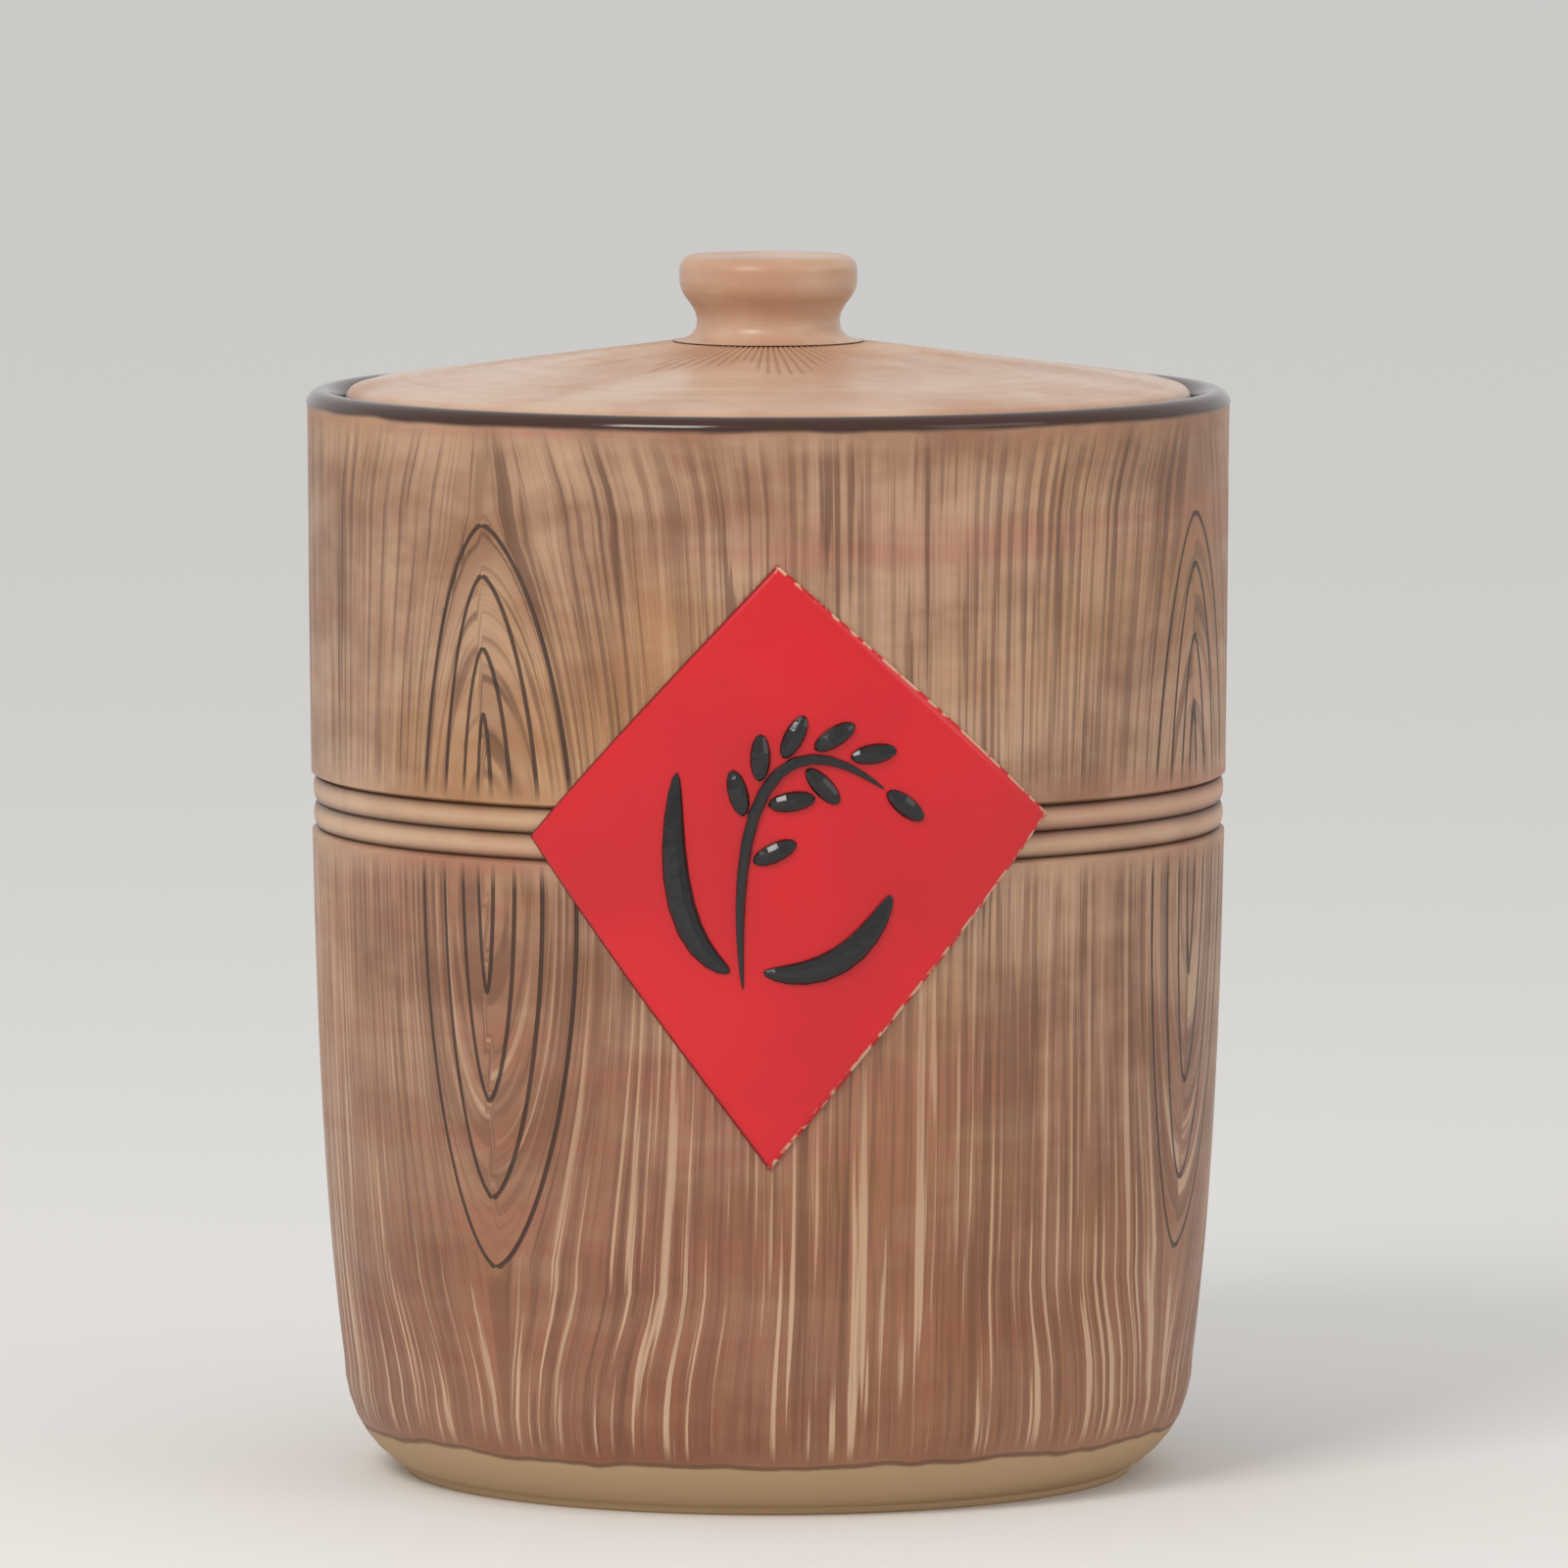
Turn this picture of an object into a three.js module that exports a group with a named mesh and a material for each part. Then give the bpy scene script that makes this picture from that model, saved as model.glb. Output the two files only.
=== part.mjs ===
// A rice storage jar in glazed stoneware, shaped like a wooden tub, with a drop-in lid.
// Millimetres, +Z up. The origin is on the axis, on the table under the foot ring.
// The plaque faces -Y. Radii are taken from the axis and heights from the table.
import * as THREE from "three";

// Driving dimensions of the jar wall
const wallRadius = 130;
const rimHeight = 305.5;
const wallThickness = 8.5;
const footDraw = 10;
const drawLength = 78;
const cornerWidth = 26.5;
const cornerHeight = 32;

// Driving dimensions of the foot ring and the jar's floor
const footStep = 2;
const footWidth = 11;
const footRecess = 5;
const footRecessDraft = 4;
const floorThickness = 9;
const insideCornerRadius = 20;

// Driving dimensions of the carved band round the middle
const bandHeight = 189.7;
const bandPitch = 7.25;
const bandGrooveWidth = 2.6;
const bandGrooveDepth = 1.2;

// Driving dimensions of the ledge that carries the lid
const seatDepth = 7;
const seatWidth = 10.5;
const seatThickness = 7;
const seatHaunch = 11;

// Driving dimensions of the lid
const rimClearance = 2.6;
const lidSlope = 0.132;
const lidThickness = 6;
const lidEdgeHeight = 7.7;
const lidEdgeRadius = 4;
const lidBottomRound = 2;
const flangeClearance = 2.5;
const flangeThickness = 6;
const flangeDepth = 10;
const ventRadius = 12;

// Driving dimensions of the knob
const knobRadius = 25;
const knobHeight = 23.6;
const knobTopCorner = 4;
const knobCrown = 0.5;
const knobSideHeight = 3;
const knobNeckRadius = 20.1;
const knobNeckHeight = 4.4;
const knobFootRadius = 27;
const knobWall = 7;
const knobWaistBend = 0.45;
const knobFlareLift = 0.6;

// Driving dimensions of the plaque: how far each corner lies from the centre line, and how high
const plaqueThickness = 1.5;
const plaqueTop = { along: 2.4, height: 265.3 };
const plaqueRight = { along: 82.2, height: 195.1 };
const plaqueBottom = { along: 0.3, height: 98.6 };
const plaqueLeft = { along: -69, height: 189.4 };

// Driving dimensions of the rice ear in relief, placed from its centre on the plaque
const earCentre = { along: 3, height: 186.5 };
const reliefHeight = 1.8;
const stemWidth = 3.4;
const leafWidth = 7.6;
const grainLength = 13;
const grainWidth = 5.6;
const outerGrainAngle = 0.55;
const innerGrainAngle = 1.0;
const grainSpread = 0.9;
const outerGrainPlaces = [0.4, 0.52, 0.64, 0.76, 0.88];
const innerGrainPlaces = [0.28, 0.46, 0.72];

// Clearance between pieces that touch
const fit = 0.3;

// How finely round forms are divided
const turns = 64;
const knobTurns = 40;
const plaqueSteps = 16;
const dabSides = 10;
const lowerWallRows = [0, 0.14, 0.3, 0.48, 0.72];
const upperWallRows = [0.35, 0.7, 1];
const insideWallRows = [1, 0.55, 0.25, 0];

// Sizes that follow from the driving dimensions
const innerRadius = wallRadius - wallThickness;
const seatHeight = rimHeight - seatDepth;
const seatRadius = innerRadius - seatWidth;
const lidRadius = innerRadius - rimClearance;
const lidBase = seatHeight + fit;
const lidCrown = lidBase + lidEdgeHeight + lidSlope * lidRadius;
const flangeRadius = seatRadius - flangeClearance;
const floorHeight = footRecess + floorThickness;

// Outer radius of the jar wall at a height, drawing in towards the foot
function wallRadiusAt(z) {
  return wallRadius - footDraw * Math.exp(-Math.max(z - cornerHeight, 0) / drawLength);
}

// Height of the lid's upper face at a radius
function lidTopAt(r) {
  return lidCrown - lidSlope * r;
}

// Points on an arc of an ellipse, from one angle to another, both ends included
function arc(centre, radii, from, to, steps) {
  return Array.from({ length: steps + 1 }, (_, i) => {
    const angle = from + ((to - from) * i) / steps;
    return new THREE.Vector2(
      centre.x + radii.x * Math.cos(angle),
      centre.y + radii.y * Math.sin(angle),
    );
  });
}

const at = (r, z) => new THREE.Vector2(r, z);
const both = (r) => new THREE.Vector2(r, r);

// Revolves an outline of (radius, height) points about the Z axis
function turned(outline, divisions) {
  return new THREE.LatheGeometry(outline, divisions).rotateX(Math.PI / 2);
}

// Heights at which the outer wall has a point, with the band's three grooves cut in
function outerWall() {
  const shoulder = rimHeight - wallThickness / 2;
  const bandEdge = bandPitch + bandGrooveWidth / 2;
  const below = lowerWallRows.map((share) => {
    return THREE.MathUtils.lerp(cornerHeight, bandHeight - bandEdge, share);
  });
  const above = upperWallRows.map((share) => {
    return THREE.MathUtils.lerp(bandHeight + bandEdge, shoulder, share);
  });
  const grooves = [-1, 0, 1].flatMap((row) => groove(bandHeight + row * bandPitch));
  const plain = (z) => at(wallRadiusAt(z), z);
  return [...below.map(plain), ...grooves, ...above.map(plain)];
}

// One V-shaped groove of the band
function groove(z) {
  const half = bandGrooveWidth / 2;
  return [
    at(wallRadiusAt(z - half), z - half),
    at(wallRadiusAt(z) - bandGrooveDepth, z),
    at(wallRadiusAt(z + half), z + half),
  ];
}

// The jar: rounded foot, outer wall, full-round rim, ledge for the lid, inside wall and floor
function jarOutline() {
  const base = wallRadiusAt(cornerHeight);
  const cornerCentre = at(base - cornerWidth, cornerHeight);
  const footAngle = Math.asin(footStep / cornerHeight - 1);
  const corner = arc(cornerCentre, at(cornerWidth, cornerHeight), footAngle, 0, 7);
  const footRadius = corner[0].x;
  const rimCentre = at(wallRadius - wallThickness / 2, rimHeight - wallThickness / 2);
  const rim = arc(rimCentre, both(wallThickness / 2), 0, Math.PI, 8);
  const insideTop = floorHeight + insideCornerRadius;
  const haunchFoot = seatHeight - seatThickness - seatHaunch;
  const insideWall = insideWallRows.map((share) => {
    const z = THREE.MathUtils.lerp(insideTop, haunchFoot, share);
    return at(wallRadiusAt(z) - wallThickness, z);
  });
  const insideCentre = at(insideWall.at(-1).x - insideCornerRadius, insideTop);
  const insideCorner = arc(insideCentre, both(insideCornerRadius), 0, -Math.PI / 2, 5);
  return [
    at(0, footRecess),
    at(footRadius - footWidth - footRecessDraft, footRecess),
    at(footRadius - footWidth, 0),
    at(footRadius, 0),
    ...corner.slice(0, -1),
    ...outerWall(),
    ...rim.slice(1),
    at(innerRadius, seatHeight),
    at(seatRadius, seatHeight),
    at(seatRadius, seatHeight - seatThickness),
    ...insideWall,
    ...insideCorner.slice(1),
    at(0, floorHeight),
  ];
}

// The lid: a shallow cone with a round edge, a flat seat and a locating flange, open under the knob
function lidOutline() {
  const edgeTop = lidTopAt(lidRadius);
  const edgeCentre = at(lidRadius - lidEdgeRadius, edgeTop - lidEdgeRadius);
  const edge = arc(edgeCentre, both(lidEdgeRadius), 0, Math.PI / 2, 5).reverse();
  const bottomCentre = at(lidRadius - lidBottomRound, lidBase + lidBottomRound);
  const bottomCorner = arc(bottomCentre, both(lidBottomRound), 0, -Math.PI / 2, 3);
  const flangeCentre = at(flangeRadius - flangeThickness / 2, lidBase - flangeDepth);
  const flangeEnd = arc(flangeCentre, both(flangeThickness / 2), 0, -Math.PI, 6);
  const flangeInside = flangeRadius - flangeThickness;
  return [
    at(ventRadius, lidTopAt(ventRadius) - lidThickness),
    at(ventRadius, lidTopAt(ventRadius)),
    ...edge,
    ...bottomCorner,
    at(flangeRadius, lidBase),
    ...flangeEnd,
    at(flangeInside, lidTopAt(flangeInside) - lidThickness),
    at(ventRadius, lidTopAt(ventRadius) - lidThickness),
  ].reverse();
}

// The knob: a squat round head on a waisted neck that flares onto the lid, hollow from below
function knobOutline() {
  const foot = lidTopAt(knobNeckRadius) + fit;
  const top = foot + knobHeight;
  const shoulder = at(knobRadius - knobTopCorner, top - knobCrown - knobTopCorner);
  const sideFoot = at(knobRadius, shoulder.y - knobSideHeight);
  const neck = at(knobNeckRadius, foot + knobNeckHeight);
  const underHead = new THREE.CubicBezierCurve(
    sideFoot,
    at(knobRadius, THREE.MathUtils.lerp(sideFoot.y, neck.y, knobWaistBend)),
    at(knobNeckRadius, THREE.MathUtils.lerp(sideFoot.y, neck.y, 1 - knobWaistBend)),
    neck,
  );
  const toe = at(knobFootRadius, lidTopAt(knobFootRadius) + fit);
  const flare = new THREE.QuadraticBezierCurve(neck, at(knobNeckRadius, toe.y + knobFlareLift), toe);
  const hollow = knobNeckRadius - knobWall;
  const hollowTop = top - knobCrown - knobWall;
  const dome = arc(at(0, hollowTop - hollow / 2), at(hollow, hollow / 2), 0, Math.PI / 2, 4);
  return [
    at(0, top),
    at(shoulder.x, top - knobCrown),
    ...arc(shoulder, both(knobTopCorner), Math.PI / 2, 0, 5).slice(1),
    ...underHead.getPoints(7),
    ...flare.getPoints(4).slice(1),
    at(hollow, lidTopAt(hollow) + fit),
    ...dome,
  ].reverse();
}

// Lays a point on the wall: along it to the right, up from the table, and lifted off it
function onWall(along, z, lift) {
  const angle = along / wallRadius;
  const r = wallRadiusAt(z) + lift;
  return new THREE.Vector3(r * Math.sin(angle), -r * Math.cos(angle), z);
}

// Moves every vertex of a geometry to the place that a function gives for it
function reshaped(geometry, place) {
  const position = geometry.getAttribute("position");
  const point = new THREE.Vector3();
  for (let i = 0; i < position.count; i++) {
    const moved = place(point.fromBufferAttribute(position, i));
    position.setXYZ(i, moved.x, moved.y, moved.z);
  }
  geometry.computeVertexNormals();
  return geometry;
}

// The plaque: a square sheet drawn out to its four corners and wrapped on the wall
function plaqueGeometry() {
  const sheet = new THREE.BoxGeometry(1, 1, 1, plaqueSteps, plaqueSteps, 1);
  const { lerp } = THREE.MathUtils;
  return reshaped(sheet, (p) => {
    const u = p.x + 0.5;
    const v = p.y + 0.5;
    const blend = (key) => {
      const lower = lerp(plaqueBottom[key], plaqueRight[key], u);
      const upper = lerp(plaqueLeft[key], plaqueTop[key], u);
      return lerp(lower, upper, v);
    };
    return onWall(blend("along"), blend("height"), fit + plaqueThickness * (p.z + 0.5));
  });
}

// A raised dab with a flat back and pointed ends, laid along a curve on the plaque
function dabGeometry(curve, width, lengthSteps) {
  const dome = new THREE.SphereGeometry(1, dabSides, lengthSteps).rotateZ(-Math.PI / 2);
  const back = 2 * fit + plaqueThickness;
  return reshaped(dome, (p) => {
    const share = (p.x + 1) / 2;
    const centre = curve.getPoint(share);
    const tangent = curve.getTangent(share);
    const across = (p.y * width) / 2;
    return onWall(
      earCentre.along + centre.x - tangent.y * across,
      earCentre.height + centre.y + tangent.x * across,
      back + Math.max(p.z, 0) * reliefHeight,
    );
  });
}

const stemCurve = new THREE.CubicBezierCurve(at(-10, -38), at(-14, 10), at(-3, 42), at(29, 17));
const leftLeafCurve = new THREE.QuadraticBezierCurve(at(-13.5, -33), at(-33, -24), at(-28, 22));
const rightLeafCurve = new THREE.QuadraticBezierCurve(at(-4.5, -33), at(20, -37), at(31, -12));

// One grain's centre line, rooted beside the stem and leaning out on the side given
function grainCurve(share, side) {
  const lean = side > 0 ? outerGrainAngle : -innerGrainAngle;
  const tangent = stemCurve.getTangent(share);
  const outward = at(-tangent.y, tangent.x).multiplyScalar(side);
  const start = stemCurve.getPoint(share).addScaledVector(outward, stemWidth / 2 + grainSpread);
  const along = tangent.clone().rotateAround(at(0, 0), lean);
  return new THREE.LineCurve(start, start.clone().addScaledVector(along, grainLength));
}

// The grain at the tip of the ear, in line with the stem
function tipGrainCurve() {
  const along = stemCurve.getTangent(1);
  const start = stemCurve.getPoint(1).addScaledVector(along, grainSpread);
  return new THREE.LineCurve(start, start.clone().addScaledVector(along, grainLength));
}

function material(color, roughness) {
  return new THREE.MeshStandardMaterial({ color, roughness, metalness: 0 });
}

const woodGlaze = material(0x8b6246, 0.5);
const paleGlaze = material(0xc8aa96, 0.4);
const redGlaze = material(0xd6262d, 0.3);
const blackGlaze = material(0x0d0b0c, 0.15);

function piece(name, geometry, finish) {
  const mesh = new THREE.Mesh(geometry, finish);
  mesh.name = name;
  return mesh;
}

// The rice ear: a stem, two leaves, and grains down both sides of the stem's upper half
function earPieces() {
  const outerGrains = outerGrainPlaces.map((share) => grainCurve(share, 1));
  const innerGrains = innerGrainPlaces.map((share) => grainCurve(share, -1));
  const grains = [...outerGrains, ...innerGrains, tipGrainCurve()];
  return [
    piece("motif_stem", dabGeometry(stemCurve, stemWidth, 18), blackGlaze),
    piece("motif_leaf_left", dabGeometry(leftLeafCurve, leafWidth, 12), blackGlaze),
    piece("motif_leaf_right", dabGeometry(rightLeafCurve, leafWidth, 12), blackGlaze),
    ...grains.map((curve, i) => {
      return piece(`motif_grain_${i + 1}`, dabGeometry(curve, grainWidth, 7), blackGlaze);
    }),
  ];
}

const jar = new THREE.Group();
jar.add(
  piece("jar_body", turned(jarOutline(), turns), woodGlaze),
  piece("diamond_plaque", plaqueGeometry(), redGlaze),
  ...earPieces(),
);

const lidGroup = new THREE.Group();
lidGroup.add(
  piece("lid", turned(lidOutline(), turns), paleGlaze),
  piece("lid_knob", turned(knobOutline(), knobTurns), paleGlaze),
);

const riceJar = new THREE.Group();
riceJar.add(jar, lidGroup);
export default riceJar;
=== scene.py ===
"""The looks of a lidded rice jar in glazed stoneware, carved like a wooden tub, with a red plaque."""
import math

import bmesh
import bpy
import numpy as np
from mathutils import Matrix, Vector


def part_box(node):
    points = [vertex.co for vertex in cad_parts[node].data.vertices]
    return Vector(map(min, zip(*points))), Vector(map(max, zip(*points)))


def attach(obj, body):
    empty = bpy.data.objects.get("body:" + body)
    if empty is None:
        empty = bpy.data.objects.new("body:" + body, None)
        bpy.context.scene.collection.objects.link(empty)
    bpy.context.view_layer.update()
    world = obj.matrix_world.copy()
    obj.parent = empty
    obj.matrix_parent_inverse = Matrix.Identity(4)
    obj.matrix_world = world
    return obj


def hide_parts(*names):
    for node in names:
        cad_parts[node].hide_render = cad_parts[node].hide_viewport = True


MM = 0.001

# The camera of the photograph: place in metres, angles in degrees, lens on a 36 mm sensor
CAMERA_PLACE = (0.0, -4.196, 0.573)
CAMERA_TILT = 5.167
CAMERA_TURN = -0.060
CAMERA_LENS = 343.1
CAMERA_REACH = 50

# Room: the floor's half width in metres, colours and the strength of the light all round
FLOOR_REACH = 40
FLOOR_COLOUR = (0.82, 0.81, 0.79)
FLOOR_ROUGHNESS = 0.9
FLOOR_SHINE = 0.1
SKY_COLOUR = (1.0, 1.0, 1.0)
SKY_STRENGTH = 0.72

# Lamps: name, place, aim, size in metres, power in watts and colour
LAMPS = (
    ("key", (-1.0, -1.7, 1.8), (0, 0, 0.2), 0.9, 27, (1, 0.96, 0.9)),
    ("fill", (1.8, -1.2, 0.9), (0, 0, 0.15), 1.2, 5, (1, 0.95, 0.9)),
)

# Jar wall, in metres, with the rim's first angle in radians and the crease in degrees
WALL_RADIUS = 130 * MM
WALL_THICKNESS = 8.5 * MM
FOOT_DRAW = 10 * MM
DRAW_LENGTH = 78 * MM
CORNER_WIDTH = 26.5 * MM
CORNER_HEIGHT = 32 * MM
CORNER_STEPS = 7
FOOT_STEP = 2 * MM
FOOT_WIDTH = 11 * MM
FOOT_RECESS = 5 * MM
FOOT_RECESS_DRAFT = 4 * MM
FOOT_EDGE = 0.6 * MM
FLOOR_HEIGHT = 14 * MM
INSIDE_CORNER = 20 * MM
INSIDE_STEPS = 4
RIM_START = 0.12
RIM_STEPS = 9
SEAT_DEPTH = 7 * MM
SEAT_WIDTH = 10.5 * MM
SEAT_THICKNESS = 7 * MM
SEAT_HAUNCH = 11 * MM
SEAT_EDGE = 1 * MM
COLUMNS = 480
ROW_STEP = 7.5 * MM
JAR_CREASE = 50

# Carved band: three grooves with two round ridges between them. Shares are of the pitch.
BAND_HEIGHT = 189.7 * MM
BAND_PITCH = 7.25 * MM
BAND_INSET = 0.5 * MM
BAND_DEPTH = 2.0 * MM
BAND_ROUNDNESS = 0.45
BAND_LIP = 0.12
BAND_MARGIN = 1.14
BAND_REACH = 1.2
BAND_ROWS = (0, 0.04, 0.12, 0.3, 0.5, 0.7, 0.88, 0.96, 1, 1.07)

# Grain and tool marks on the outer wall
GRAIN_TOP = 300 * MM
GRAIN_FOOT = 14 * MM
GRAIN_FADE = 8 * MM
TOOL_DEPTH = 0.25 * MM
TOOL_DEPTH_IN_BAND = 0.3
OUTER_SKIN = 3 * MM
INNER_SKIN = 6 * MM

# Rings of random values: the seed and how many go round
BROAD_TOOL_MARKS = (3, 140)
NARROW_TOOL_MARKS = (4, 220)
RAY_LENGTHS = (5, 48)

# Knots: their centre lines and half widths in degrees, positive to the right of the front
KNOT_TURNS = (-37.5, 66.5, 186.0)
KNOT_TOP = 274 * MM
KNOT_FOOT = 68.6 * MM
KNOT_LEFT = 10.3
KNOT_RIGHT = 13.3

# Each loop of a knot: top and bottom in metres, then its width as a share of the outer loop's
KNOT_LOOPS = (
    (KNOT_TOP, KNOT_FOOT, 1.0),
    (260 * MM, 88 * MM, 0.64),
    (240 * MM, 115 * MM, 0.34),
    (222 * MM, 145 * MM, 0.1),
)
LOOP_POWER = 0.62
LOOP_END = 0.006
LINE_WIDTH = 0.75 * MM

# How the grain bends round a knot: degrees, but for the power and the height of its fade
FLOW_POWER = 0.65
FLOW_SOFTNESS = 5.5
FLOW_SPREAD = 34
FLOW_FADE = 22 * MM

# Lid
LID_CLEARANCE = 2.6 * MM
LID_SLOPE = 0.132
LID_THICKNESS = 6 * MM
LID_EDGE_HEIGHT = 7.7 * MM
LID_EDGE_RADIUS = 4 * MM
LID_BOTTOM_ROUND = 2 * MM
LID_TOP_MARGIN = 3 * MM
LID_TOP_ROWS = 22
LID_COLUMNS = 768
FLANGE_CLEARANCE = 2.5 * MM
FLANGE_THICKNESS = 6 * MM
FLANGE_DEPTH = 10 * MM
VENT_RADIUS = 12 * MM
RAY_COUNT = 110
RAY_REACH = 82 * MM
RAY_FADE = 12 * MM
RAY_DEPTH = 0.3 * MM

# Gap between pieces that rest on each other
FIT = 0.3 * MM

# Knob
KNOB_RADIUS = 25 * MM
KNOB_HEIGHT = 23.6 * MM
KNOB_TOP_CORNER = 4 * MM
KNOB_CROWN = 0.5 * MM
KNOB_SIDE = 3 * MM
KNOB_NECK_RADIUS = 20.1 * MM
KNOB_NECK_HEIGHT = 4.4 * MM
KNOB_FOOT_RADIUS = 27 * MM
KNOB_WALL = 7 * MM
KNOB_WAIST_BEND = 0.45
KNOB_FLARE_LIFT = 0.6 * MM
KNOB_COLUMNS = 128

# Plaque: how far each corner lies along the wall from the centre line, and how high
PLAQUE_THICKNESS = 1.5 * MM
PLAQUE_TOP = Vector((2.4, 265.3)) * MM
PLAQUE_RIGHT = Vector((82.2, 195.1)) * MM
PLAQUE_BOTTOM = Vector((0.3, 98.6)) * MM
PLAQUE_LEFT = Vector((-69, 189.4)) * MM
PLAQUE_STEPS = 90
PLAQUE_ROUND_DEPTH = 0.9 * MM
PLAQUE_ROUND_SHARE = 0.012
PLAQUE_SWELL = 0.12 * MM
PLAQUE_SINK = 0.15 * MM
PLAQUE_CREASE = 60
EDGE_LINE = 1.2 * MM
PLAQUE_EDGES = {
    "left_edge": (PLAQUE_LEFT, PLAQUE_TOP),
    "low_left_edge": (PLAQUE_BOTTOM, PLAQUE_LEFT),
    "right_edge": (PLAQUE_TOP, PLAQUE_RIGHT),
    "low_right_edge": (PLAQUE_RIGHT, PLAQUE_BOTTOM),
}

# Heights between which one glaze gives way to the next, and how far those lines wander
FOOT_LINE = (0.0135, 0.0165)
FOOT_WANDER = 0.006
RIM_LINE = (0.3005, 0.3022)
RIM_WANDER = 0.002
REDDER_BELOW = (0.02, 0.21)


def srgb(red, green, blue):
    """A colour of 0 to 255 as linear values."""

    def linear(value):
        share = value / 255
        return share / 12.92 if share <= 0.04045 else ((share + 0.055) / 1.055) ** 2.4

    return tuple(linear(value) for value in (red, green, blue))


OAK_LIGHT = srgb(184, 146, 118)
OAK_MID = srgb(146, 103, 76)
OAK_DARK = srgb(84, 50, 33)
# Deep brown, used as painted shade in the band's grooves and the carved knot lines.
OAK_DEEP = srgb(52, 30, 20)
# Pale tone of the grain's raised streaks, and also the painted highlight on the band's ridge tops.
OAK_PALE = srgb(220, 188, 156)
OAK_RED = srgb(132, 74, 48)
OCHRE = srgb(186, 134, 78)
ROSE = srgb(172, 112, 92)
RIM_BROWN = srgb(58, 30, 18)
CLAY = srgb(180, 150, 114)
LID_PALE = srgb(206, 174, 149)
LID_ROSE = srgb(188, 144, 118)
LID_OCHRE = srgb(186, 144, 108)
LID_DARK = srgb(140, 100, 76)
RED = srgb(208, 16, 28)
RED_DEEP = srgb(180, 14, 26)
# Dark red for the painted shade along the plaque's left edges.
RED_EDGE_SHADE = srgb(78, 10, 14)
# Cream on the plaque's right edges, partly wear and partly a painted highlight.
CREAM = srgb(226, 200, 164)
INK = srgb(16, 15, 17)
INK_LIGHT = srgb(30, 28, 30)

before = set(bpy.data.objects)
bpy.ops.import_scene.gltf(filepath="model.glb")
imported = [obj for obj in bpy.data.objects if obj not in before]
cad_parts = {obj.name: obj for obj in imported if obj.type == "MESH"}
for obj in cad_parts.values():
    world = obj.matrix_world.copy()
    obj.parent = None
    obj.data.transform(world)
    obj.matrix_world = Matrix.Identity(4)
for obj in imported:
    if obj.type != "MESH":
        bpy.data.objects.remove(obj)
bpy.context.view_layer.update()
RIM_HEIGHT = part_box("jar_body")[1][2]

INNER_RADIUS = WALL_RADIUS - WALL_THICKNESS
SEAT_HEIGHT = RIM_HEIGHT - SEAT_DEPTH
SEAT_RADIUS = INNER_RADIUS - SEAT_WIDTH
LID_RADIUS = INNER_RADIUS - LID_CLEARANCE
LID_BASE = SEAT_HEIGHT + FIT
LID_CROWN = LID_BASE + LID_EDGE_HEIGHT + LID_SLOPE * LID_RADIUS
FLANGE_RADIUS = SEAT_RADIUS - FLANGE_CLEARANCE


# Outlines and meshes


def wall_radius(z):
    """Outer radius of the jar at a height, drawing in towards the foot."""
    return WALL_RADIUS - FOOT_DRAW * math.exp(-max(z - CORNER_HEIGHT, 0) / DRAW_LENGTH)


def lid_top(r):
    """Height of the lid's upper face at a radius."""
    return LID_CROWN - LID_SLOPE * r


def arc(centre, radii, start, end, steps):
    """Points on an arc of an ellipse, both ends included, angles in radians."""
    angles = [start + (end - start) * i / steps for i in range(steps + 1)]
    return [(centre[0] + radii[0] * math.cos(a), centre[1] + radii[1] * math.sin(a)) for a in angles]


def curve_points(controls, steps):
    """Points on a Bezier curve of any degree, both ends included."""
    points = []
    for i in range(steps + 1):
        level = [Vector(c) for c in controls]
        while len(level) > 1:
            level = [a.lerp(b, i / steps) for a, b in zip(level, level[1:])]
        points.append(tuple(level[0]))
    return points


def turned(name, outline, steps):
    """Spins an outline of (radius, height) points about the Z axis into a closed piece."""
    bm = bmesh.new()
    verts = [bm.verts.new((r, 0, z)) for r, z in outline]
    edges = [bm.edges.new(pair) for pair in zip(verts, verts[1:])]
    if outline[0][0] > 0:
        edges.append(bm.edges.new((verts[-1], verts[0])))
    bmesh.ops.spin(
        bm,
        geom=verts + edges,
        cent=(0, 0, 0),
        axis=(0, 0, 1),
        angle=2 * math.pi,
        steps=steps,
        use_merge=True,
    )
    bmesh.ops.remove_doubles(bm, verts=bm.verts, dist=1e-6)
    bmesh.ops.recalc_face_normals(bm, faces=bm.faces)
    return piece_from(bm, name)


def piece_from(bm, name):
    """Makes a smooth-shaded object from a bmesh and frees the bmesh."""
    mesh = bpy.data.meshes.new(name)
    bm.to_mesh(mesh)
    bm.free()
    mesh.polygons.foreach_set("use_smooth", [True] * len(mesh.polygons))
    piece = bpy.data.objects.new(name, mesh)
    bpy.context.collection.objects.link(piece)
    return piece


def coordinates(mesh):
    flat = np.empty(len(mesh.vertices) * 3)
    mesh.vertices.foreach_get("co", flat)
    return flat.reshape(-1, 3)


def set_coordinates(mesh, points):
    mesh.vertices.foreach_set("co", points.ravel())
    mesh.update()


def store(mesh, name, values):
    """Keeps one number per vertex for the mesh's material to read."""
    attribute = mesh.attributes.new(name, "FLOAT", "POINT")
    attribute.data.foreach_set("value", np.asarray(values, dtype=float))


def periodic(turn, seed, count):
    """Smooth lookup, by turn in radians, of a ring of seeded random values."""
    values = np.random.default_rng(seed).random(count)
    place = (turn / (2 * math.pi) * count) % count
    index = place.astype(int)
    share = place - index
    share = share * share * (3 - 2 * share)
    return values[index % count] * (1 - share) + values[(index + 1) % count] * share


# Camera, lamps and floor


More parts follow.
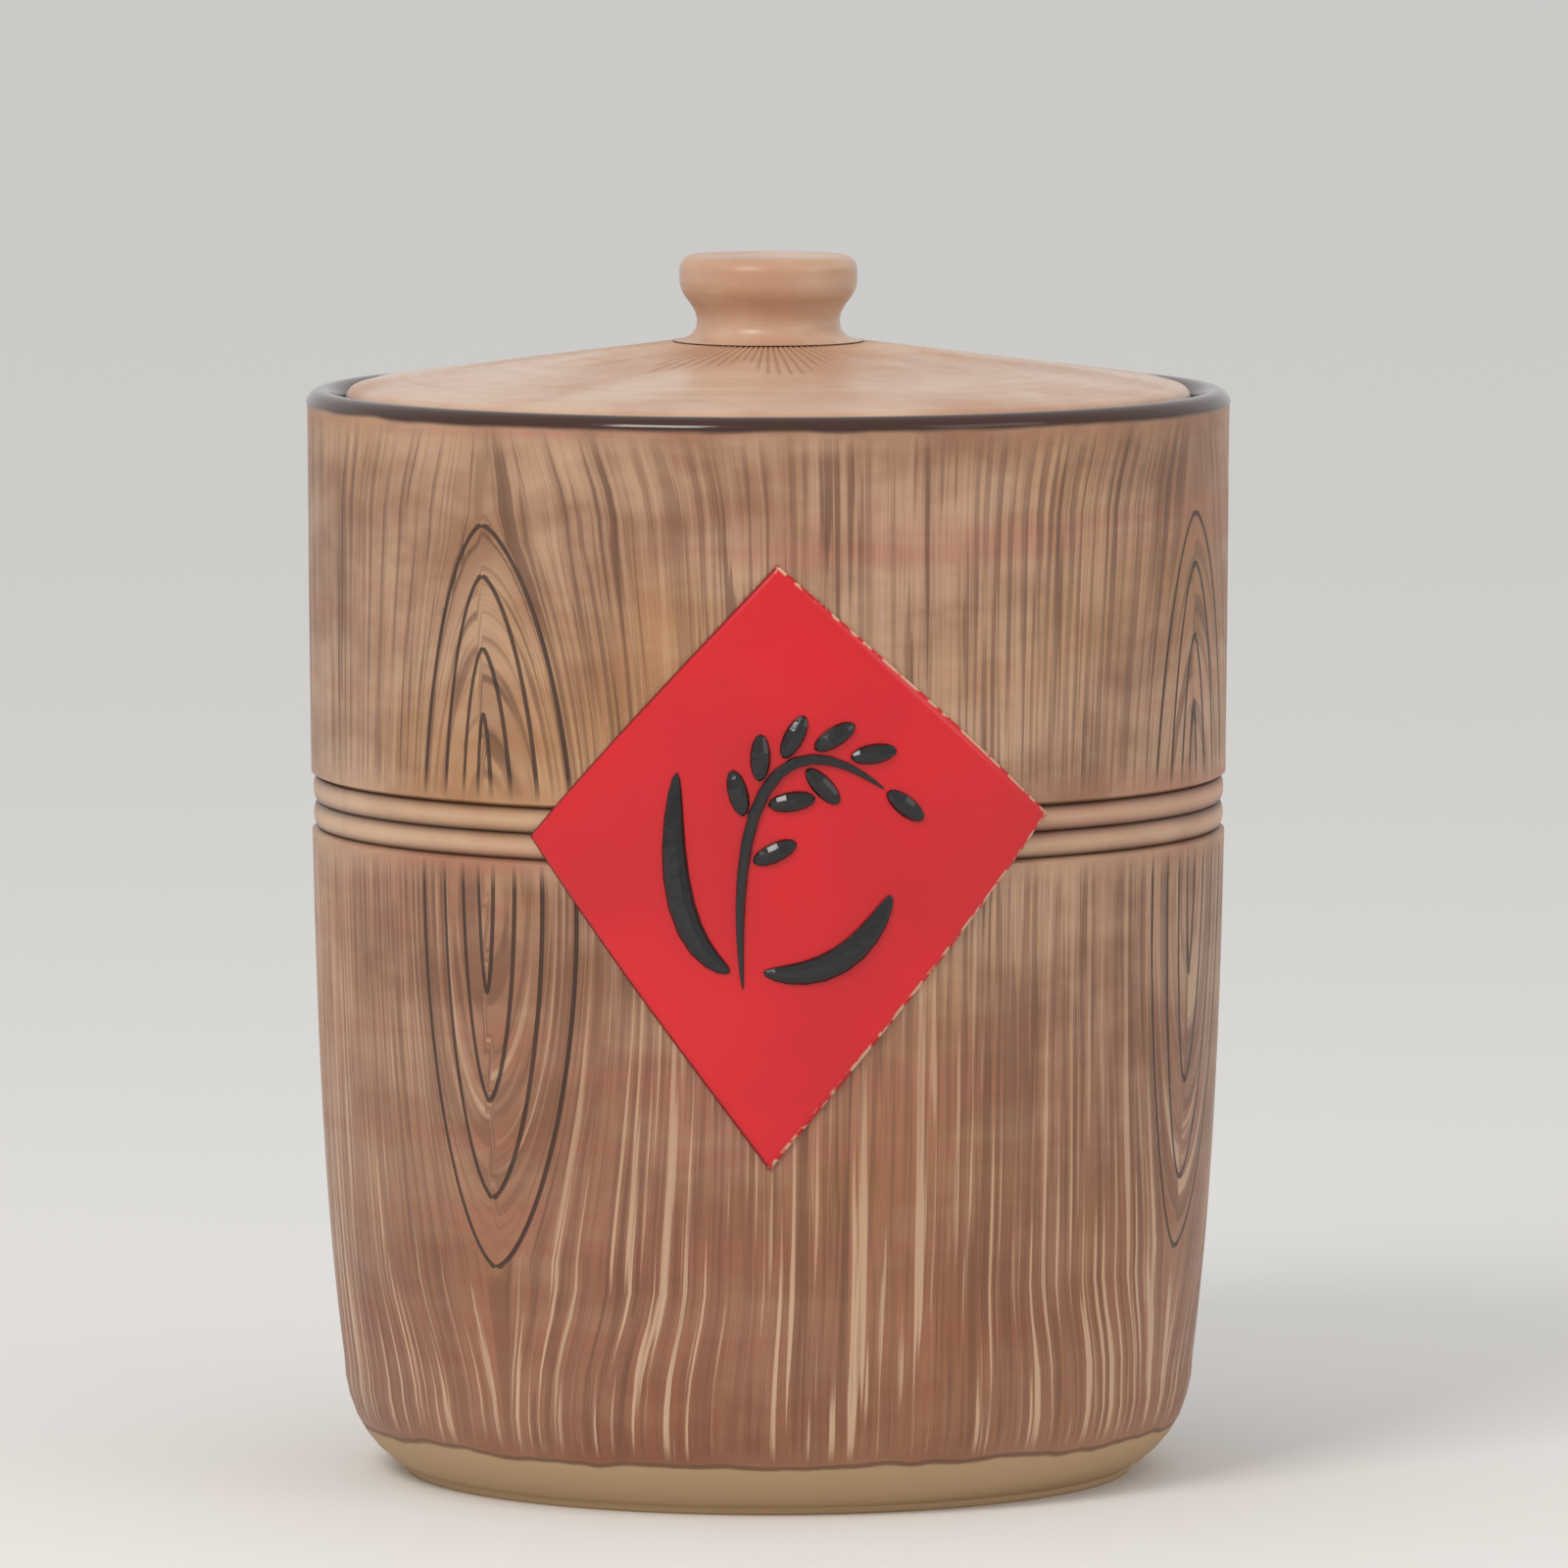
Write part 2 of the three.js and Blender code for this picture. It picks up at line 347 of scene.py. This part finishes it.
def add_camera():
    data = bpy.data.cameras.new("camera")
    data.lens = CAMERA_LENS
    data.clip_end = CAMERA_REACH
    camera = bpy.data.objects.new("camera", data)
    camera.location = CAMERA_PLACE
    camera.rotation_euler = [math.radians(a) for a in (90 - CAMERA_TILT, 0, CAMERA_TURN)]
    bpy.context.collection.objects.link(camera)
    bpy.context.scene.camera = camera


def add_lamp(name, place, aim, size, power, colour):
    data = bpy.data.lights.new(name, "AREA")
    data.size = size
    data.energy = power
    data.color = colour
    lamp = bpy.data.objects.new(name, data)
    lamp.location = place
    lamp.rotation_euler = (Vector(aim) - Vector(place)).to_track_quat("-Z", "Y").to_euler()
    bpy.context.collection.objects.link(lamp)


def add_floor():
    bm = bmesh.new()
    bmesh.ops.create_grid(bm, x_segments=1, y_segments=1, size=FLOOR_REACH)
    floor = piece_from(bm, "floor")
    paper = Finish("floor_paper")
    paper.set(Base_Color=FLOOR_COLOUR, Roughness=FLOOR_ROUGHNESS, Specular_IOR_Level=FLOOR_SHINE)
    floor.data.materials.append(paper.material)


def add_sky():
    """Even light all round, which the camera sees in the floor's own colour."""
    world = bpy.data.worlds.new("studio")
    bpy.context.scene.world = world
    world.use_nodes = True
    tree = world.node_tree
    sky = tree.nodes["Background"]
    seen = tree.nodes.new("ShaderNodeBackground")
    for background, colour in ((sky, SKY_COLOUR), (seen, FLOOR_COLOUR)):
        background.inputs[0].default_value = (*colour, 1)
        background.inputs[1].default_value = SKY_STRENGTH
    ray = tree.nodes.new("ShaderNodeLightPath")
    choice = tree.nodes.new("ShaderNodeMixShader")
    tree.links.new(ray.outputs["Is Camera Ray"], choice.inputs[0])
    tree.links.new(sky.outputs[0], choice.inputs[1])
    tree.links.new(seen.outputs[0], choice.inputs[2])
    tree.links.new(choice.outputs[0], tree.nodes["World Output"].inputs[0])


# Materials


class Signal:
    """A socket whose arithmetic adds Math nodes to its material."""

    def __init__(self, finish, socket):
        self.finish = finish
        self.socket = socket

    def maths(self, operation, *values):
        return self.finish.node("ShaderNodeMath", {"operation": operation}, dict(enumerate(values)))

    def __add__(self, other):
        return self.maths("ADD", self, other)

    def __radd__(self, other):
        return self.maths("ADD", other, self)

    def __sub__(self, other):
        return self.maths("SUBTRACT", self, other)

    def __rsub__(self, other):
        return self.maths("SUBTRACT", other, self)

    def __mul__(self, other):
        return self.maths("MULTIPLY", self, other)

    def __rmul__(self, other):
        return self.maths("MULTIPLY", other, self)

    def __truediv__(self, other):
        return self.maths("DIVIDE", self, other)

    def __pow__(self, other):
        return self.maths("POWER", self, other)

    def __abs__(self):
        return self.maths("ABSOLUTE", self)

    def most(self, other):
        return self.maths("MAXIMUM", self, other)

    def least(self, other):
        return self.maths("MINIMUM", self, other)


class Finish:
    """A material of procedural nodes, built around one Principled shader."""

    def __init__(self, name):
        self.material = bpy.data.materials.new(name)
        self.material.use_nodes = True
        self.tree = self.material.node_tree
        self.tree.nodes.clear()
        self.shader = self.tree.nodes.new("ShaderNodeBsdfPrincipled")
        output = self.tree.nodes.new("ShaderNodeOutputMaterial")
        self.tree.links.new(self.shader.outputs[0], output.inputs[0])

    def node(self, kind, settings=None, inputs=None, output=0):
        """Adds any node: its type, its settings, then values or links for its sockets."""
        made = self.tree.nodes.new(kind)
        for key, value in (settings or {}).items():
            setattr(made, key, value)
        for key, value in (inputs or {}).items():
            self.feed(made.inputs[key], value)
        return Signal(self, made.outputs[output])

    def feed(self, socket, value):
        if isinstance(value, Signal):
            self.tree.links.new(value.socket, socket)
        elif socket.type == "RGBA":
            socket.default_value = (*value, 1)
        else:
            socket.default_value = value

    def set(self, **sockets):
        """Feeds the shader's own sockets, with underscores for the spaces in their names."""
        for key, value in sockets.items():
            self.feed(self.shader.inputs[key.replace("_", " ")], value)

    def place(self):
        """Object coordinates, whole and split into x, y and z, in metres."""
        where = self.node("ShaderNodeTexCoord", output="Object")
        split = [self.node("ShaderNodeSeparateXYZ", inputs={0: where}, output=i) for i in range(3)]
        return where, split

    def attribute(self, name, output="Fac"):
        return self.node("ShaderNodeAttribute", {"attribute_name": name}, output=output)

    def noise(self, where, scale, stretch=None, detail=3, roughness=0.5, distortion=0):
        """Noise of about so many waves to a metre, times the stretch on each axis."""
        if stretch:
            inputs = {"Vector": where, "Scale": stretch}
            where = self.node("ShaderNodeMapping", {"vector_type": "POINT"}, inputs)
        inputs = {
            "Vector": where,
            "Scale": scale,
            "Detail": detail,
            "Roughness": roughness,
            "Distortion": distortion,
        }
        return self.node("ShaderNodeTexNoise", inputs=inputs)

    def span(self, value, low, high, out_low=0.0, out_high=1.0):
        """A smooth step from one value to another as a signal goes from low to high."""
        inputs = {0: value, 1: low, 2: high, 3: out_low, 4: out_high}
        return self.node("ShaderNodeMapRange", {"interpolation_type": "SMOOTHSTEP"}, inputs)

    def below(self, value, low, high):
        """1 where a signal is under low, falling to 0 at high."""
        return self.span(value, low, high, 1.0, 0.0)

    def mix(self, share, under, over):
        """One colour laid over another by a share of 0 to 1."""
        inputs = {0: share, 6: under, 7: over}
        return self.node("ShaderNodeMix", {"data_type": "RGBA"}, inputs, output=2)

    def bump(self, height, strength, distance):
        inputs = {"Height": height, "Strength": strength, "Distance": distance}
        return self.node("ShaderNodeBump", inputs=inputs)


# The jar: a spun wall with a carved band, and grain that flows round the knots


def band_inset(z):
    """How far the wall is cut back at a height in the carved band."""
    offset = abs(z - BAND_HEIGHT)
    if offset > BAND_PITCH:
        return BAND_DEPTH * max(0.0, 1 - (offset - BAND_PITCH) / (BAND_LIP * BAND_PITCH))
    phase = abs(math.sin(math.pi * offset / BAND_PITCH))
    return BAND_INSET + (BAND_DEPTH - BAND_INSET) * (1 - phase ** BAND_ROUNDNESS)


def wall_heights():
    """Heights of the outer wall's rows: fine across the band and even elsewhere."""
    shoulder = RIM_HEIGHT - WALL_THICKNESS / 2
    low, high = BAND_HEIGHT - BAND_MARGIN * BAND_PITCH, BAND_HEIGHT + BAND_MARGIN * BAND_PITCH
    below = np.linspace(CORNER_HEIGHT, low, round((low - CORNER_HEIGHT) / ROW_STEP))
    rows = [-row for row in reversed(BAND_ROWS[1:])] + list(BAND_ROWS)
    across = BAND_HEIGHT + BAND_PITCH * np.array(rows)
    above = np.linspace(high, shoulder, round((shoulder - high) / ROW_STEP))
    return [*below, *across, *above]


def jar_outline():
    base = wall_radius(CORNER_HEIGHT)
    foot_angle = math.asin(FOOT_STEP / CORNER_HEIGHT - 1)
    corner_centre = (base - CORNER_WIDTH, CORNER_HEIGHT)
    corner = arc(corner_centre, (CORNER_WIDTH, CORNER_HEIGHT), foot_angle, 0, CORNER_STEPS)
    foot = corner[0][0]
    wall = [(wall_radius(z) - band_inset(z), z) for z in wall_heights()]
    half = WALL_THICKNESS / 2
    rim = arc((WALL_RADIUS - half, RIM_HEIGHT - half), (half, half), RIM_START, math.pi, RIM_STEPS)
    haunch = SEAT_HEIGHT - SEAT_THICKNESS - SEAT_HAUNCH
    inside_top = FLOOR_HEIGHT + INSIDE_CORNER
    inside_rows = np.linspace(haunch, inside_top, INSIDE_STEPS)
    inside = [(wall_radius(z) - WALL_THICKNESS, z) for z in inside_rows]
    inside_centre = (inside[-1][0] - INSIDE_CORNER, inside_top)
    inside_corner = arc(inside_centre, (INSIDE_CORNER,) * 2, 0, -math.pi / 2, INSIDE_STEPS)
    return [
        (0, FOOT_RECESS),
        (foot - FOOT_WIDTH - FOOT_RECESS_DRAFT, FOOT_RECESS),
        (foot - FOOT_WIDTH, 0),
        (foot - FOOT_EDGE, 0),
        (foot, FOOT_EDGE),
        *corner[:-1],
        *wall,
        *rim,
        (INNER_RADIUS, SEAT_HEIGHT),
        (SEAT_RADIUS + SEAT_EDGE, SEAT_HEIGHT),
        (SEAT_RADIUS, SEAT_HEIGHT - SEAT_EDGE),
        (SEAT_RADIUS, SEAT_HEIGHT - SEAT_THICKNESS),
        *inside,
        *inside_corner[1:],
        (0, FLOOR_HEIGHT),
    ]


def degrees_from(turn, centre):
    """Degrees from a knot's centre line, between -180 and 180."""
    return (np.degrees(turn) - centre + 180) % 360 - 180


def knot_offset(turn):
    """Degrees from the nearest knot's centre line, positive to its right."""
    offsets = np.array([degrees_from(turn, centre) for centre in KNOT_TURNS])
    nearest = np.abs(offsets).argmin(axis=0)
    return np.take_along_axis(offsets, nearest[None], axis=0)[0]


def flow_turn(turn, z):
    """The turn that the grain has, in radians, once it is bent round the knots."""
    middle, half = 0.5 * (KNOT_TOP + KNOT_FOOT), 0.5 * (KNOT_TOP - KNOT_FOOT)
    rise = np.clip(np.abs(z - middle) / half, 0, 1)
    beyond = np.clip(np.abs(z - middle) - half, 0, None)
    soft = FLOW_SOFTNESS * np.exp(-(beyond / FLOW_FADE) ** 2)
    flowed = turn.copy()
    for centre in KNOT_TURNS:
        offset = degrees_from(turn, centre)
        reach = (1 - rise ** 2) ** FLOW_POWER * np.where(offset > 0, KNOT_RIGHT, KNOT_LEFT)
        gap = offset ** 2 - reach ** 2
        outside = np.sqrt(np.maximum(gap, 0) + soft ** 2) - soft
        inside = soft - np.sqrt(np.maximum(-gap, 0) + soft ** 2)
        bent = np.where(gap > 0, np.sign(offset) * outside, inside)
        near = np.exp(-(offset / FLOW_SPREAD) ** 4)
        flowed += np.radians((bent - offset) * near)
    return flowed


def tool_marks(turn, z):
    """Shallow hollows left by the carving tool, 0 to 1."""
    broad = periodic(turn, *BROAD_TOOL_MARKS)
    narrow = periodic(turn + 0.02 * np.sin(z / (21 * MM)), *NARROW_TOOL_MARKS)
    return 0.6 * broad + 0.4 * narrow


def build_jar():
    jar = turned("tub", jar_outline(), COLUMNS)
    mesh = jar.data
    points = coordinates(mesh)
    radius = np.hypot(points[:, 0], points[:, 1])
    turn = np.arctan2(points[:, 0], -points[:, 1])
    z = points[:, 2].copy()
    nominal = WALL_RADIUS - FOOT_DRAW * np.exp(-np.maximum(z - CORNER_HEIGHT, 0) / DRAW_LENGTH)
    outer = (radius > nominal - OUTER_SKIN) & (z > GRAIN_FOOT) & (z < GRAIN_TOP)
    in_band = np.abs(z - BAND_HEIGHT) < BAND_REACH * BAND_PITCH
    inside = (radius < nominal - INNER_SKIN) & (z > FLOOR_HEIGHT - 0.5 * MM)
    fade = np.clip((GRAIN_TOP - z) / GRAIN_FADE, 0, 1) * np.clip((z - GRAIN_FOOT) / GRAIN_FADE, 0, 1)
    flowed = flow_turn(turn, z)
    depth = TOOL_DEPTH * fade * outer * np.where(in_band, TOOL_DEPTH_IN_BAND, 1.0)
    scale = (radius - depth * tool_marks(flowed, z)) / np.maximum(radius, 1e-9)
    points[:, 0] *= scale
    points[:, 1] *= scale
    set_coordinates(mesh, points)

    flow = np.stack([WALL_RADIUS * np.sin(flowed), -WALL_RADIUS * np.cos(flowed), z], axis=1)
    grain = mesh.attributes.new("grain", "FLOAT_VECTOR", "POINT")
    grain.data.foreach_set("vector", flow.ravel())
    offset = knot_offset(turn)
    inset = np.array([band_inset(height) for height in z]) * outer
    # The ridge mask carries a painted highlight onto the band's ridge tops.
    phase = np.abs(np.sin(np.pi * (z - BAND_HEIGHT) / BAND_PITCH))
    ridge = np.where(np.abs(z - BAND_HEIGHT) < BAND_PITCH, phase ** 3, 0)
    store(mesh, "across", np.abs(offset) / np.where(offset > 0, KNOT_RIGHT, KNOT_LEFT))
    store(mesh, "carved", np.where(outer & ~in_band, fade, 0.0))
    store(mesh, "inside", inside)
    # The groove mask carries painted shade into the band's grooves.
    store(mesh, "groove", np.clip((inset / BAND_DEPTH - 0.35) / 0.3, 0, 1))
    store(mesh, "ridge", ridge * outer)
    mesh.set_sharp_from_angle(angle=math.radians(JAR_CREASE))
    return jar


def knot_lines(finish, z):
    """1 on the knots' lines and 0 beside them, from the distance to the nearest loop."""
    across = finish.attribute("across")
    side = WALL_RADIUS * math.radians(0.5 * (KNOT_LEFT + KNOT_RIGHT))
    gaps = []
    for top, foot, share in KNOT_LOOPS:
        half = 0.5 * (top - foot)
        rise = (z - 0.5 * (top + foot)) / half
        room = (1 - rise * rise).most(LOOP_END)
        beyond = (rise * rise - 1).most(0.0) * (0.5 * half)
        slope = rise * room ** (LOOP_POWER - 1) * (2 * LOOP_POWER * share * side / half)
        gap = (across - room ** LOOP_POWER * share) * side / (1 + slope * slope) ** 0.5
        gaps.append(abs(gap) + beyond)
    nearest = gaps[0]
    for gap in gaps[1:]:
        nearest = gap.least(nearest)
    line = finish.below(nearest, 0.35 * LINE_WIDTH, LINE_WIDTH)
    return line * finish.attribute("carved")


def tub_finish():
    """Brown wood-grain glaze outside, dark glaze on the rim and inside, bare clay at the foot."""
    finish = Finish("tub_glaze")
    where, (_, _, z) = finish.place()
    grain = finish.attribute("grain", output="Vector")
    carved = finish.attribute("carved")
    # line marks the carved knot lines, for both their bump and their painted shade.
    line = knot_lines(finish, z)

    broad = finish.noise(where, 15, stretch=(1, 1, 2.0), detail=4, roughness=0.6)
    bands = finish.noise(
        where, 7.5, stretch=(0.45, 0.45, 6), detail=5, roughness=0.62, distortion=0.4
    )
    ochre = finish.noise(where, 9, detail=2)
    combed = finish.noise(grain, 430, stretch=(1, 1, 0.022), detail=2)
    hair = finish.noise(grain, 900, stretch=(1, 1, 0.02), detail=2, roughness=0.6)
    streak = finish.noise(grain, 60, stretch=(1, 1, 0.09), roughness=0.6)

    base = finish.mix(finish.span(broad, 0.34, 0.66), OAK_MID, OAK_LIGHT)
    base = finish.mix(finish.span(ochre, 0.5, 0.68) * 0.4, base, OCHRE)
    base = finish.mix(finish.span(bands, 0.5, 0.66) * 0.55, base, ROSE)
    low = finish.below(z, *REDDER_BELOW)
    base = finish.mix(low * 0.65, base, OAK_RED)
    base = finish.mix(finish.span(streak, 0.52, 0.72) * 0.25, base, OAK_DARK)
    depth = 0.3 + finish.span(streak, 0.35, 0.65) * 0.35
    furrow = finish.span(combed, 0.53, 0.59) * depth * carved
    base = finish.mix(furrow * (1 - low * 0.35), base, OAK_DARK)
    raised = finish.below(combed, 0.36, 0.43) * (0.12 + low * 0.5) * carved
    base = finish.mix(raised, base, OAK_PALE)
    base = finish.mix(finish.span(hair, 0.52, 0.66) * 0.3 * carved, base, OAK_DARK)
    # Painted shade: the carved knot lines darkened to deep brown.
    base = finish.mix(line * 0.9, base, OAK_DEEP)
    # Painted shade: the band's grooves darkened to deep brown.
    base = finish.mix(finish.attribute("groove") * 0.8, base, OAK_DEEP)
    # Painted highlight: the band's ridge tops lightened to pale.
    base = finish.mix(finish.attribute("ridge") * 0.45, base, OAK_PALE)

    wander = finish.noise(where, 40, detail=2) - 0.5
    foot = finish.below(z + wander * FOOT_WANDER, *FOOT_LINE)
    soil = finish.span(foot * (1 - foot), 0.05, 0.25) * 0.7
    base = finish.mix(foot, base, CLAY)
    base = finish.mix(soil, base, OAK_DARK)
    rim = finish.span(z + wander * RIM_WANDER, *RIM_LINE)
    dark = rim.most(finish.span(finish.attribute("inside"), 0.2, 0.8))
    base = finish.mix(dark, base, RIM_BROWN)

    roughness = finish.span(bands, 0.3, 0.7, 0.36, 0.5) * (1 - dark) + dark * 0.13 + foot * 0.25
    height = (finish.below(combed, 0.4, 0.62) * 0.55 + hair * 0.3) * carved - line * 1.6
    finish.set(Base_Color=base, Roughness=roughness, Normal=finish.bump(height, 0.9, 0.6 * MM))
    return finish.material


# The lid and its knob


def lid_outline():
    edge_centre = (LID_RADIUS - LID_EDGE_RADIUS, lid_top(LID_RADIUS) - LID_EDGE_RADIUS)
    edge = arc(edge_centre, (LID_EDGE_RADIUS,) * 2, math.pi / 2, 0, 8)
    bottom_centre = (LID_RADIUS - LID_BOTTOM_ROUND, LID_BASE + LID_BOTTOM_ROUND)
    bottom_corner = arc(bottom_centre, (LID_BOTTOM_ROUND,) * 2, 0, -math.pi / 2, 4)
    half = FLANGE_THICKNESS / 2
    flange = arc((FLANGE_RADIUS - half, LID_BASE - FLANGE_DEPTH), (half,) * 2, 0, -math.pi, 8)
    flange_inside = FLANGE_RADIUS - FLANGE_THICKNESS
    top_end = LID_RADIUS - LID_EDGE_RADIUS - LID_TOP_MARGIN
    top = [(r, lid_top(r)) for r in np.linspace(VENT_RADIUS, top_end, LID_TOP_ROWS)]
    return [
        *top,
        *edge,
        *bottom_corner,
        (FLANGE_RADIUS, LID_BASE),
        *flange,
        (flange_inside, lid_top(flange_inside) - LID_THICKNESS),
        (VENT_RADIUS, lid_top(VENT_RADIUS) - LID_THICKNESS),
    ]


def build_lid():
    """The lid, with fine uneven rays cut into its top round the knob."""
    lid = turned("lid_turned", lid_outline(), LID_COLUMNS)
    mesh = lid.data
    points = coordinates(mesh)
    radius = np.hypot(points[:, 0], points[:, 1])
    turn = np.arctan2(points[:, 0], -points[:, 1])
    top = points[:, 2] > LID_CROWN - LID_SLOPE * radius - 1 * MM
    rays = 0.5 + 0.5 * np.cos(RAY_COUNT * turn + 2.5 * np.sin(7 * turn))
    reach = RAY_REACH * (0.55 + 0.45 * periodic(turn, *RAY_LENGTHS))
    fade = np.clip((reach - radius) / RAY_FADE, 0, 1) * top
    points[:, 2] -= RAY_DEPTH * rays * fade
    set_coordinates(mesh, points)
    store(mesh, "rays", rays * fade)
    return lid


def knob_outline():
    foot = lid_top(KNOB_NECK_RADIUS) + FIT
    top = foot + KNOB_HEIGHT
    shoulder = (KNOB_RADIUS - KNOB_TOP_CORNER, top - KNOB_CROWN - KNOB_TOP_CORNER)
    side = (KNOB_RADIUS, shoulder[1] - KNOB_SIDE)
    neck = (KNOB_NECK_RADIUS, foot + KNOB_NECK_HEIGHT)
    bend = KNOB_WAIST_BEND * (side[1] - neck[1])
    under = curve_points(
        [side, (KNOB_RADIUS, side[1] - bend), (KNOB_NECK_RADIUS, neck[1] + bend), neck], 14
    )
    toe = (KNOB_FOOT_RADIUS, lid_top(KNOB_FOOT_RADIUS) + FIT)
    flare = curve_points([neck, (KNOB_NECK_RADIUS, toe[1] + KNOB_FLARE_LIFT), toe], 8)
    hollow = KNOB_NECK_RADIUS - KNOB_WALL
    hollow_top = top - KNOB_CROWN - KNOB_WALL
    dome = arc((0, hollow_top - hollow / 2), (hollow, hollow / 2), 0, math.pi / 2, 6)
    return [
        (0, top),
        (shoulder[0] * 0.6, top - 0.3 * KNOB_CROWN),
        (shoulder[0], top - KNOB_CROWN),
        *arc(shoulder, (KNOB_TOP_CORNER,) * 2, math.pi / 2, 0, 8)[1:],
        *under,
        *flare[1:],
        (hollow, lid_top(hollow) + FIT),
        *dome[:-1],
        (0, hollow_top),
    ]


def build_knob():
    """The knob, which has none of the lid's rays."""
    knob = turned("knob_turned", knob_outline(), KNOB_COLUMNS)
    store(knob.data, "rays", np.zeros(len(knob.data.vertices)))
    return knob


def lid_finish(name):
    """Pale turned glaze with dark rays near the middle and streaks round it."""
    finish = Finish(name)
    where, (x, y, z) = finish.place()
    radius = (x * x + y * y) ** 0.5
    ring = finish.node("ShaderNodeCombineXYZ", inputs={0: radius * 30, 1: z * 40, 2: x * 3})
    rings = finish.noise(ring, 9, detail=4)
    patch = finish.noise(where, 16, detail=4, roughness=0.6)
    base = finish.mix(finish.span(patch, 0.38, 0.66), LID_PALE, LID_ROSE)
    base = finish.mix(finish.span(rings, 0.45, 0.7) * 0.5, base, LID_OCHRE)
    strokes = finish.span(finish.attribute("rays"), 0.55, 0.95)
    base = finish.mix(strokes * 0.5, base, LID_DARK)
    finish.set(
        Base_Color=base,
        Roughness=finish.span(patch, 0.3, 0.7, 0.24, 0.4),
        Normal=finish.bump(rings * 0.4 - strokes, 0.5, 0.4 * MM),
    )
    return finish.material


# The plaque and the rice ear in relief


def on_wall(along, z, lift):
    """A point on the wall: along it to the right, up from the floor, and lifted off it."""
    angle = along / WALL_RADIUS
    r = wall_radius(z) + lift
    return Vector((r * math.sin(angle), -r * math.cos(angle), z))


def lay_back(geometry):
    """Moves the vertices among some new geometry onto the plaque's back, and lists them."""
    verts = [item for item in geometry if isinstance(item, bmesh.types.BMVert)]
    for vert in verts:
        spread = Vector((vert.co.x, vert.co.y, 0)).normalized()
        base = wall_radius(vert.co.z) + FIT
        vert.co = (spread.x * base, spread.y * base, vert.co.z)
    return verts


def build_plaque():
    """A grid drawn out to the plaque's corners and wrapped on the wall, with sides and a back."""
    bm = bmesh.new()
    bmesh.ops.create_grid(bm, x_segments=PLAQUE_STEPS, y_segments=PLAQUE_STEPS, size=0.5)
    front = list(bm.faces)
    for vert in bm.verts:
        u, v = vert.co.x + 0.5, vert.co.y + 0.5
        lower = PLAQUE_BOTTOM.lerp(PLAQUE_RIGHT, u)
        upper = PLAQUE_LEFT.lerp(PLAQUE_TOP, u)
        spot = lower.lerp(upper, v)
        edge = min(u, 1 - u, v, 1 - v)
        rounding = PLAQUE_ROUND_DEPTH * max(0, 1 - edge / PLAQUE_ROUND_SHARE) ** 2
        swell = PLAQUE_SWELL * math.sin(60 * spot.x + 3) * math.sin(45 * spot.y)
        vert.co = on_wall(*spot, FIT + PLAQUE_THICKNESS - rounding - PLAQUE_SINK + swell)
    rim = [edge for edge in bm.edges if edge.is_boundary]
    skirt = lay_back(bmesh.ops.extrude_edge_only(bm, edges=rim)["geom"])
    back = lay_back(bmesh.ops.duplicate(bm, geom=front)["geom"])
    bmesh.ops.remove_doubles(bm, verts=skirt + back, dist=1e-6)
    bmesh.ops.recalc_face_normals(bm, faces=bm.faces)
    plaque = piece_from(bm, "plaque")
    points = coordinates(plaque.data)
    along = WALL_RADIUS * np.arctan2(points[:, 0], -points[:, 1])
    for name, (start, end) in PLAQUE_EDGES.items():
        run = (end - start).normalized()
        gap = np.abs((along - start.x) * run.y - (points[:, 2] - start.y) * run.x)
        store(plaque.data, name, gap / EDGE_LINE)
    plaque.data.set_sharp_from_angle(angle=math.radians(PLAQUE_CREASE))
    return plaque


def red_finish():
    """Clouded red glaze, with painted shade along the left edges, and cream along the right ones that
    is partly wear and partly a painted highlight.
    """
    finish = Finish("red_glaze")
    where, _ = finish.place()
    cloud = finish.noise(where, 22)
    base = finish.mix(finish.span(cloud, 0.3, 0.7) * 0.5, RED, RED_DEEP)
    wear_and_highlight = finish.span(finish.noise(where, 260), 0.46, 0.56)
    # Painted shade: a dark line along the plaque's left edges.
    dark = finish.below(finish.attribute("left_edge"), 0.3, 0.9)
    dark = dark.most(finish.below(finish.attribute("low_left_edge"), 0.3, 0.9))
    pale = finish.below(finish.attribute("right_edge"), 0.3, 0.9)
    pale = pale.most(finish.below(finish.attribute("low_right_edge"), 0.4, 1.2))
    base = finish.mix(dark * 0.65, base, RED_EDGE_SHADE)
    # Cream along the right edges: partly worn glaze, partly a painted highlight.
    base = finish.mix(pale * wear_and_highlight * 0.75, base, CREAM)
    ripple = finish.noise(where, 120, detail=2)
    finish.set(
        Base_Color=base,
        Roughness=finish.span(cloud, 0.3, 0.7, 0.22, 0.34),
        Normal=finish.bump(ripple, 0.15, 0.6 * MM),
    )
    return finish.material


def black_finish():
    """Glossy black glaze with faint brush marks."""
    finish = Finish("black_glaze")
    where, _ = finish.place()
    brush = finish.noise(where, 260, detail=2)
    base = finish.mix(brush, INK, INK_LIGHT)
    finish.set(Base_Color=base, Roughness=0.12, Normal=finish.bump(brush, 0.3, 0.5 * MM))
    return finish.material


def dress(piece, body, slot, material, *nodes):
    """Gives a piece its material and body, and has it stand for its CAD nodes."""
    piece.data.materials.append(material)
    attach(piece, body)
    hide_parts(*nodes)


def main():
    bpy.context.scene.view_settings.view_transform = "Standard"
    add_camera()
    add_floor()
    add_sky()
    for lamp in LAMPS:
        add_lamp(*lamp)
    dress(build_jar(), "jar", "wood_glaze", tub_finish(), "jar_body")
    dress(build_lid(), "lid", "pale_glaze", lid_finish("lid_glaze"), "lid")
    dress(build_knob(), "lid", "pale_glaze", lid_finish("knob_glaze"), "lid_knob")
    dress(build_plaque(), "jar", "red_glaze", red_finish(), "diamond_plaque")
    black = black_finish()
    for name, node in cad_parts.items():
        if name.startswith("motif_"):
            node.data.materials.clear()
            node.data.materials.append(black)


main()
